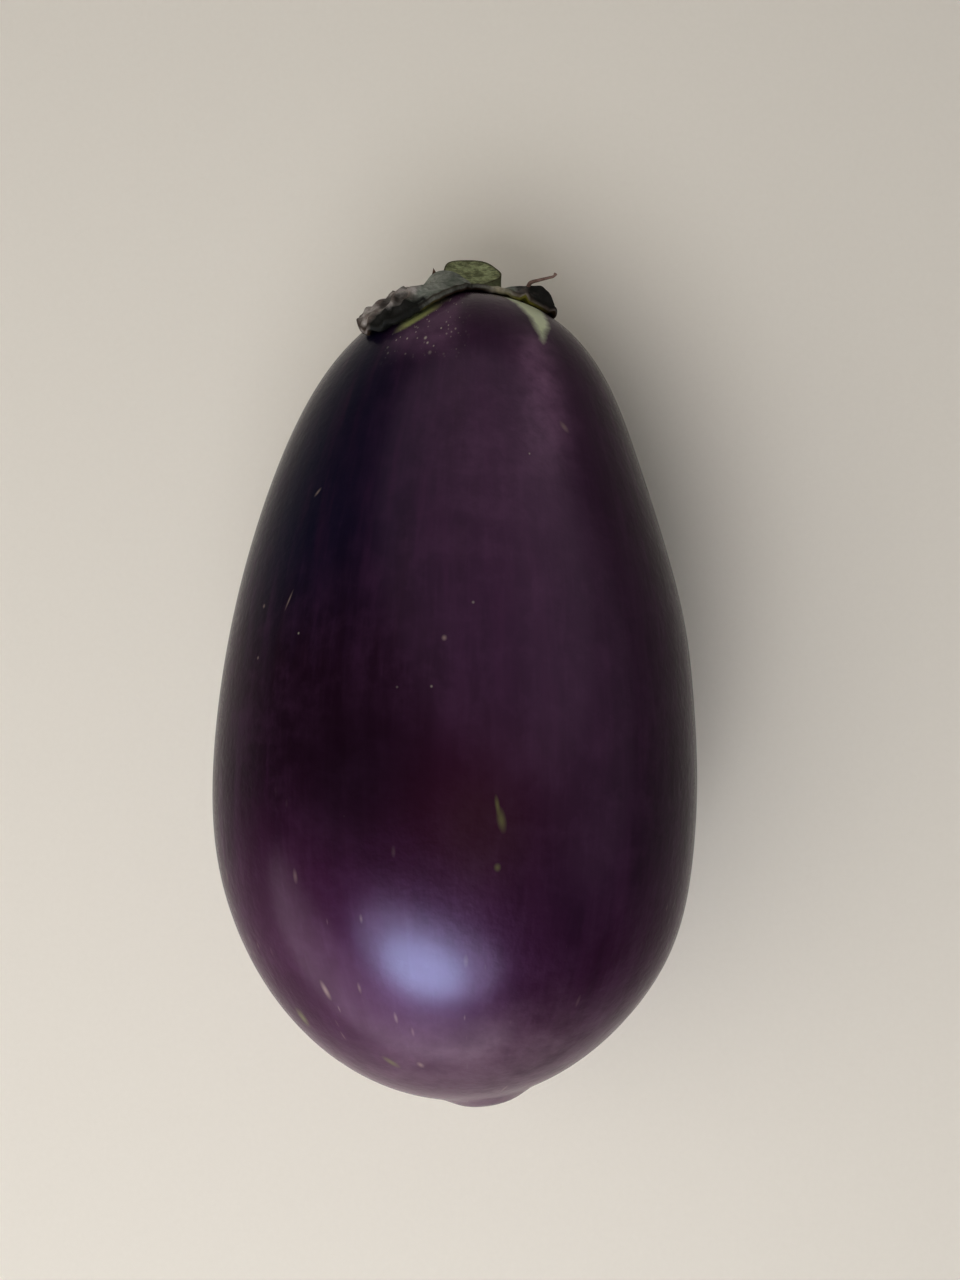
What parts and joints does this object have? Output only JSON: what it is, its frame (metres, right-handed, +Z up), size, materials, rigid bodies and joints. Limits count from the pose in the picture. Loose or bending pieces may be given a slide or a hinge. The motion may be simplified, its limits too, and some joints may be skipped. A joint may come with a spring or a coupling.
{
  "type": "eggplant",
  "caption": "Plump oval eggplant lying on its side, dark glossy purple, with a withered lobed calyx and a short stalk stub cut on a slant.",
  "frame": {"origin": "on the surface it lies on, under the middle of the whole thing's bounding box", "axes": "+Y along the fruit from the blossom end to the stem end, +X across it, +Z up"},
  "size_m": [0.0764, 0.139, 0.0768],
  "materials": {
    "fruit": "smooth waxy skin, medium gloss",
    "calyx": "dry, matte, wrinkled",
    "stem": "matte, fibrous green cut face"
  },
  "bodies": {
    "root": {"fruit": "fruit", "calyx": "calyx", "stem": "stem"}
  },
  "joints": []
}
